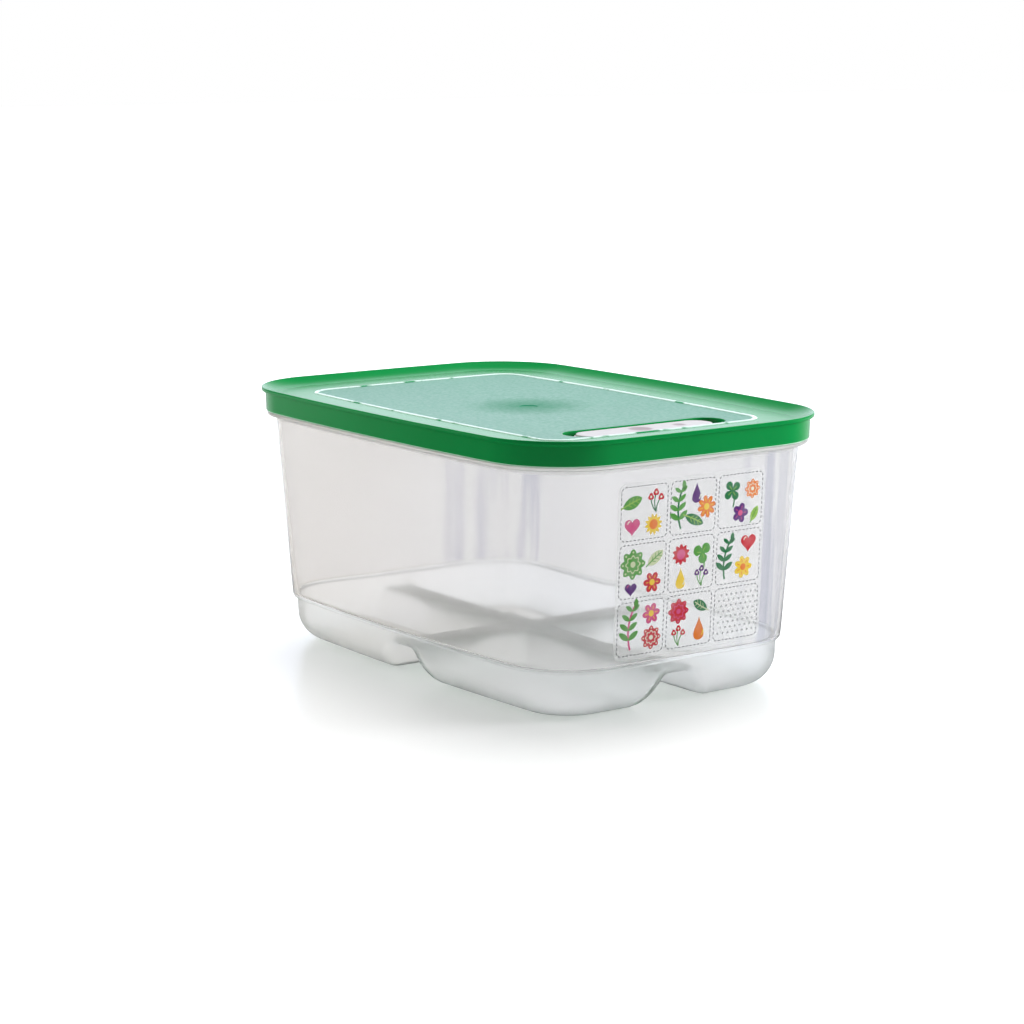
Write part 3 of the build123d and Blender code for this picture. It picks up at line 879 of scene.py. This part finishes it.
def leaf_outline(slim):
    """Pointed oval of unit half length: (cos a, slim sin a times the root of |sin a|)."""
    return ROUND.real + 1j * slim * ROUND.imag * np.sqrt(np.abs(ROUND.imag))


def bent(start, stop, bend, count=12):
    """Arc-like path from start to stop that leaves the straight line by a share of its length."""
    share = np.linspace(0, 1, count)
    return start + (stop - start) * (share + 4j * bend * share * (1 - share))


def leaf(size, body, vein, slim=0.5):
    """Leaf with a midrib and three pairs of side veins."""
    midrib = bent(-1.25 * size, 0.8 * size, 0.02)
    parts = [filled(size * leaf_outline(slim), body, 1), stroke(midrib, 0.05 * size, vein)]
    for along in (-0.45, -0.05, 0.35):
        for side in (-1, 1):
            tip = along + 0.28 + side * 0.75j * slim * (1 - along**2)
            parts.append(stroke(bent(along * size, tip * size, 0.0, 4), 0.03 * size, vein))
    return parts


def blossom(size, body, heart, count=6):
    """Blossom of round petals with a round heart and short lines on the petals."""
    outline = size * petals(count, 0.42, 0.8)
    parts = [filled(outline, body, 1), filled(0.3 * size * ROUND, heart, 2)]
    for number in range(count):
        way = size * np.exp(2j * np.pi * number / count)
        parts.append(stroke(bent(0.42 * way, 0.72 * way, 0.0, 4), 0.035 * size, heart))
    return parts


def clover(size, body, vein, count=4):
    """Clover: heart-like lobes, a bent stem and pale lines in the lobes."""
    parts = [
        stroke(bent(0, (0.35 - 1.5j) * size, 0.12), 0.07 * size, body, 0),
        filled(size * petals(count, 0.75, 0.6) * np.exp(0.25j * np.pi), body, 1),
    ]
    for number in range(count):
        way = size * np.exp(2j * np.pi * (number + 0.5) / count)
        parts.append(stroke(bent(0.15 * way, 0.6 * way, 0.0, 4), 0.03 * size, vein))
    return parts


def heart(size, body, shine):
    """Heart: x = 16 sin cubed, y = 13 cos - 5 cos 2a - 2 cos 3a - cos 4a, with a shine."""
    waves = (np.cos(number * ROUND_ANGLES) for number in (1, 2, 3, 4))
    y = sum(weight * wave for weight, wave in zip((13, -5, -2, -1), waves))
    outline = (16 * np.sin(ROUND_ANGLES) ** 3 + 1j * y)[::-1] / 16 * size
    gleam = bent((-0.62 + 0.25j) * size, (-0.3 + 0.55j) * size, 0.2)
    return [filled(outline, body, 1), stroke(gleam, 0.06 * size, shine)]


def drop(size, body, shine):
    """Drop: half width 0.42 sin a (1 - cos a), height cos a, with a shine."""
    half_width = np.sin(ROUND_ANGLES) * (1 - np.cos(ROUND_ANGLES)) * 0.42
    outline = size * (half_width + 1j * np.cos(ROUND_ANGLES))[::-1]
    gleam = bent((0.3 - 0.62j) * size, (0.45 - 0.2j) * size, -0.15)
    return [filled(outline, body, 1, -0.2j * size), stroke(gleam, 0.06 * size, shine)]


def sun(size, body, heart_colour, count=12):
    """Disc with pointed rays: radius 0.66 plus 0.34 times a sharp wave of the angle."""
    wave = np.abs(((ROUND_ANGLES * count / (2 * np.pi)) % 1) * 2 - 1)
    rays = size * (0.66 + 0.34 * wave) * ROUND
    return [filled(rays, body, 1), filled(0.46 * size * ROUND, heart_colour, 2)]


def buds(size, body, stem):
    """Three round buds with pale tips on bent stems that meet at the foot."""
    parts = []
    for place in (-0.62 + 0.35j, 0.62 + 0.25j, 0.0 + 0.75j):
        stalk = bent((0.05 - 1.15j) * size, place * size, 0.1)
        parts.append(stroke(stalk, 0.055 * size, stem, 0))
        parts.append(filled(size * (place + 0.36 * petals(3, 0.3) * 1j), body, 1, size * place))
        parts.append(filled(size * (place + 0.12 * ROUND), CREAM, 2, size * place))
    return parts


def sprig(size, body, stem, pairs=4):
    """Bent stem with pairs of leaves that grow smaller toward its tip."""
    line = bent(-1j * size, (0.25 + 0.95j) * size, 0.12, 25)
    top_leaf = line[-1] + 0.22 * size * leaf_outline(0.5) * 1j
    parts = [stroke(line, 0.045 * size, stem, 0), filled(top_leaf, body, 1, line[-1])]
    for number in range(pairs):
        reach = size * (0.3 - 0.03 * number)
        for side in (-1, 1):
            way = reach * np.exp(1j * (np.pi / 2 - side * 0.95))
            middle = line[5 + 5 * number] + way
            parts.append(filled(middle + leaf_outline(0.42) * way, body, 1, middle))
    return parts


def rosette(size, body, pale):
    """Eight-lobed medallion with a pale ring, a ring of pale beads and a pale heart."""
    lobed = size * petals(8, 0.26, 1.4)
    ring = outline_band(0.62 * lobed, 0.52 * lobed, pale, 1)
    parts = [filled(lobed, body, 0), ring, filled(0.2 * size * ROUND, pale, 2)]
    for number in range(8):
        middle = 0.8 * size * np.exp(2j * np.pi * number / 8)
        parts.append(filled(middle + 0.07 * size * ROUND, pale, 2, middle))
    return parts


def dots(size, body):
    """Field of small pale dots in slanted rows."""
    column, row = np.meshgrid(np.arange(8), np.arange(8))
    places = 3.1 * (column + 0.5 * (row % 2)) - 10.9 + 1j * (2.7 * row - 9.4)
    return [filled(place + size * ROUND[::4], body, 0, place) for place in places.ravel()]


# One line for each motif: cell across and up, place in the cell, turn, and what is drawn.
MOTIFS = [
    (-1, 1, -7.2 + 5.2j, 20, leaf(5.2, LEAF_GREEN, LIME)),
    (-1, 1, 6.6 + 5.4j, 0, buds(4.4, RED, FOREST)),
    (-1, 1, -7.0 - 6.0j, 0, heart(4.0, PINK, CREAM)),
    (-1, 1, 5.6 - 6.2j, 10, sun(4.7, YELLOW, ORANGE)),
    (0, 1, -8.0 + 0.5j, 4, sprig(9.6, LEAF_GREEN, FOREST)),
    (0, 1, 1.8 + 6.4j, 0, drop(4.4, PLUM, CREAM)),
    (0, 1, 8.2 - 1.0j, 12, blossom(5.0, ORANGE, YELLOW, 8)),
    (0, 1, 0.8 - 6.6j, -24, leaf(5.4, FOREST, LIME, 0.42)),
    (1, 1, -5.4 + 5.0j, -8, clover(4.8, FOREST, LIME)),
    (1, 1, 7.4 + 4.8j, 0, rosette(4.3, ORANGE, CREAM)),
    (1, 1, 0.2 - 6.4j, 0, blossom(4.4, PLUM, PINK, 5)),
    (1, 1, 9.2 - 7.6j, 60, leaf(3.6, LIME, LEAF_GREEN)),
    (-1, 0, -5.8 + 3.4j, 0, rosette(6.6, LEAF_GREEN, SAGE)),
    (-1, 0, 7.6 + 5.2j, 35, leaf(4.8, SAGE, LEAF_GREEN)),
    (-1, 0, 6.0 - 6.4j, 0, blossom(4.6, RED, YELLOW, 6)),
    (-1, 0, -6.6 - 8.4j, 0, heart(3.1, PLUM, PINK)),
    (0, 0, -6.4 + 5.0j, 18, sun(4.8, RED, PINK, 10)),
    (0, 0, 6.6 + 4.6j, -6, clover(4.9, LEAF_GREEN, LIME, 3)),
    (0, 0, -6.2 - 6.6j, 0, drop(4.6, YELLOW, CREAM)),
    (0, 0, 6.6 - 6.6j, 0, buds(4.0, PLUM, LEAF_GREEN)),
    (1, 0, -7.4 + 0.2j, -4, sprig(9.4, FOREST, FOREST)),
    (1, 0, 6.2 + 6.4j, 0, heart(4.2, RED, CREAM)),
    (1, 0, 3.4 - 5.6j, 0, blossom(5.0, YELLOW, ORANGE, 7)),
    (-1, -1, -5.8 + 1.2j, 0, sprig(10.2, LEAF_GREEN, PINK)),
    (-1, -1, 6.2 + 6.2j, 8, blossom(4.6, PINK, YELLOW, 6)),
    (-1, -1, 6.6 - 5.6j, 0, rosette(5.2, RED, CREAM)),
    (0, -1, -6.6 + 5.0j, 0, rosette(5.6, RED, PINK)),
    (0, -1, 6.8 + 6.4j, 150, leaf(4.4, FOREST, SAGE)),
    (0, -1, -6.2 - 6.8j, 0, buds(4.0, RED, LEAF_GREEN)),
    (0, -1, 6.4 - 4.8j, 0, drop(5.2, ORANGE, YELLOW)),
    (1, -1, 0.0 + 0.0j, 0, dots(0.5, PALE_GREY)),
]
field_line = dashed(rounded_oblong(*CELL_HALF, CELL_CORNER), LINE_GREY)
MOTIFS += [(across, up, 0.0, 0, field_line) for across in (-1, 0, 1) for up in (-1, 0, 1)]


def on_wall(places, shares, height):
    """Points on the end wall: its outer face at each place, and shares of a height above it."""
    y, z = places.real, places.imag
    return np.dstack([end_wall(y, z) + WALL_GAP + height * shares, y, z])


ink_grids, ink_tints = [], []
for across, up, place, turn_degrees, parts in MOTIFS:
    middle = LABEL_MIDDLE + across * CELL_STEP.real + 1j * up * CELL_STEP.imag + place
    turned = np.exp(1j * math.radians(turn_degrees)) * (1.0 if place == 0 else INK_SCALE)
    for places, shares, tint, layer in parts:
        spots = middle + places * turned
        ink_grids.append((on_wall(spots, shares, INK_HEIGHT + LAYER_HEIGHT * layer), 0))
        ink_tints.append(tint)
chart = mesh_piece("printed_chart", ink_grids, [chart_ink], sharp=30, merge=0.0005, tints=ink_tints)

# The clear film under the print: a thin sheet with round corners, in rows from foot to top.
share_up = share_across = np.linspace(-1, 1, FILM_POINTS)
from_corner = np.maximum(np.abs(share_up) * LABEL_HALF[1] - LABEL_HALF[1] + LABEL_CORNER, 0)
half_across = LABEL_HALF[0] - LABEL_CORNER + np.sqrt(LABEL_CORNER**2 - from_corner**2)
sheet = LABEL_MIDDLE + half_across[:, None] * share_across + 1j * LABEL_HALF[1] * share_up[:, None]
both_faces = np.concatenate([sheet, sheet[:, ::-1]], 1)
sheet_shares = np.concatenate([np.ones(sheet.shape), np.zeros(sheet.shape)], 1)
sheet_shares[[0, -1]] = 0.5
sheet_shares[:, [0, FILM_POINTS - 1, FILM_POINTS, -1]] = 0.5
film_grid = on_wall(both_faces, sheet_shares, FILM_HEIGHT)
film = mesh_piece("label_film", [(film_grid, 0)], [label_milky], sharp=30, merge=0.0005)
for piece in (chart, film):
    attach(piece, "tub")

# -------- stage
VIEW_TURN = math.radians(54.3)
TOWARD_CAMERA = (math.sin(VIEW_TURN), -math.cos(VIEW_TURN), 0.0)
TO_THE_RIGHT = (math.cos(VIEW_TURN), math.sin(VIEW_TURN), 0.0)
FLOOR_HALF = 9
NEAR_FLOOR, FAR_FLOOR = 0.45, 1.6
WHITE, BLACK = (1, 1, 1), (0, 0, 0)
WARM_WHITE, COOL_WHITE = (1.0, 0.94, 0.88), (0.97, 0.965, 0.985)


def mirror_rays(tree, path):
    """Rays mirrored by a surface: glossy ones, less those that passed through rough plastic."""
    rays = path["Is Glossy Ray"], path["Is Transmission Ray"]
    return maths(tree, "SUBTRACT", *rays, use_clamp=True)


floor_mesh = bpy.data.meshes.new("floor")
floor_corners = FLOOR_HALF * np.array([(-1, -1, 0), (1, -1, 0), (1, 1, 0), (-1, 1, 0)])
floor_mesh.from_pydata(floor_corners.tolist(), [], [(0, 1, 2, 3)])
floor = add_object("floor", floor_mesh)
floor_white, tree, shader = new_material("floor_white")
floor_mesh.materials.append(floor_white)
place = place_on(tree)
path = add_node(tree, "LightPath").outputs
through = path["Is Transmission Ray"]
# Seen through the plastic the backdrop is a little warm on the left and cool on the right.
cool = ramp(tree, vector_maths(tree, "DOT_PRODUCT", place, TO_THE_RIGHT), -0.16, 0.04)
colours = {}
for label, level, level_behind in (("Base Color", 0.86, 0.2), ("Emission Color", 1.0, 1.0)):
    sides = (tuple(part * level_behind for part in side) for side in (WARM_WHITE, COOL_WHITE))
    behind = blend_colours(tree, cool, *sides)
    colours[label] = blend_colours(tree, through, (level, level, level), behind)
# The floor glows white far out, and through the plastic under the tub too.
away = vector_maths(tree, "LENGTH", place)
direct, filtered = (
    ramp(tree, away, NEAR_FLOOR, FAR_FLOOR, *levels) for levels in ((0.22, 1.0), (0.88, 0.98))
)
glow = add_node(tree, "Mix", {0: through, 2: direct, 3: filtered}, data_type="FLOAT").outputs[0]
seen = maths(tree, "MAXIMUM", path["Is Camera Ray"], through)
glow = maths(tree, "MULTIPLY", seen, glow)
plain = {"Roughness": 0.3, "Specular IOR Level": 0.35}
feed(tree, shader, {**plain, **colours, "Emission Strength": glow})
# Mirrored in the plastic, the floor is white behind the container and a dark room in front.
toward = vector_maths(tree, "DOT_PRODUCT", place, TOWARD_CAMERA)
room_level = ramp(tree, toward, -0.5, 0.05, 1.0, 0.01)
room = add_node(tree, "Emission", {"Color": (0.93, 0.97, 1, 1), "Strength": room_level})
mix_surface(tree, mirror_rays(tree, path), shader, room)

# Room light: white behind the container, dim on the viewer's side, and plain white where it
# is seen directly or through the clear plastic.
MIRRORED_ROOM = (
    (0.0, (1.7, 1.78, 2.05)), (0.03, (1.35, 1.42, 1.68)), (0.08, (0.4, 0.43, 0.5)),
    (0.16, (0.08, 0.085, 0.1)), (0.45, (0.03, 0.03, 0.035)), (1.0, (0.02, 0.02, 0.02)),
)
world = bpy.data.worlds.new("studio")
bpy.context.scene.world = world
world.use_nodes = True
world.cycles.sampling_method = "NONE"
tree = world.node_tree
path = add_node(tree, "LightPath").outputs
toward = vector_maths(tree, "DOT_PRODUCT", place_on(tree, "Generated"), TOWARD_CAMERA)
glossy = add_node(tree, "ValToRGB", {"Fac": ramp(tree, toward, -1.0, 1.0, kind="LINEAR")})
stops = glossy.color_ramp.elements
while len(stops) < len(MIRRORED_ROOM):
    stops.new(0.5)
for stop, (position, colour) in zip(stops, MIRRORED_ROOM):
    stop.position = position
    stop.color = (*colour, 1)
diffuse = blend_colours(tree, ramp(tree, toward, -0.9, 0.7, 1.0, 0.12), BLACK, WHITE)
mirrored = blend_colours(tree, mirror_rays(tree, path), WHITE, glossy.outputs["Color"])
room_colour = blend_colours(tree, path["Is Diffuse Ray"], mirrored, diffuse)
feed(tree, tree.nodes["Background"], {"Color": room_colour})


LIGHT_TARGET = Vector((0, 0, 0.07))


def soft_light(name, place, size, power, colour):
    """Large soft lamp that looks at the middle of the container."""
    lamp = bpy.data.lights.new(name, "AREA")
    lamp.shape = "DISK"
    lamp.size = size
    lamp.energy = power
    lamp.color = colour
    light = add_object(name, lamp)
    light.location = place
    light.rotation_euler = (LIGHT_TARGET - Vector(place)).to_track_quat("-Z", "Y").to_euler()
    light.visible_camera = light.visible_glossy = light.visible_transmission = False


soft_light("left_light", (-0.75, -0.6, 0.3), 0.5, 3.2, (1.0, 0.95, 0.9))
soft_light("right_light", (0.42, 0.5, 0.28), 0.3, 3.3, (0.95, 0.98, 1.0))
soft_light("overhead_light", (-0.2, 0.25, 1.2), 0.9, 10.5, (1.0, 1.0, 1.0))

camera_data = bpy.data.cameras.new("camera")
camera_data.lens = 94.57
camera_data.sensor_width = 36.0
camera_data.clip_start = 0.05
camera = add_object("camera", camera_data)
target = Vector((-0.00490, -0.00684, 0.07680))
elevation, distance = math.radians(10.22), 1.38314
level_part = math.cos(elevation)
back = Vector(
    (math.sin(VIEW_TURN) * level_part, -math.cos(VIEW_TURN) * level_part, math.sin(elevation))
)
camera.location = target + back * distance
camera.rotation_euler = back.to_track_quat("Z", "Y").to_euler()
bpy.context.scene.camera = camera
bpy.context.scene.view_settings.view_transform = "Standard"
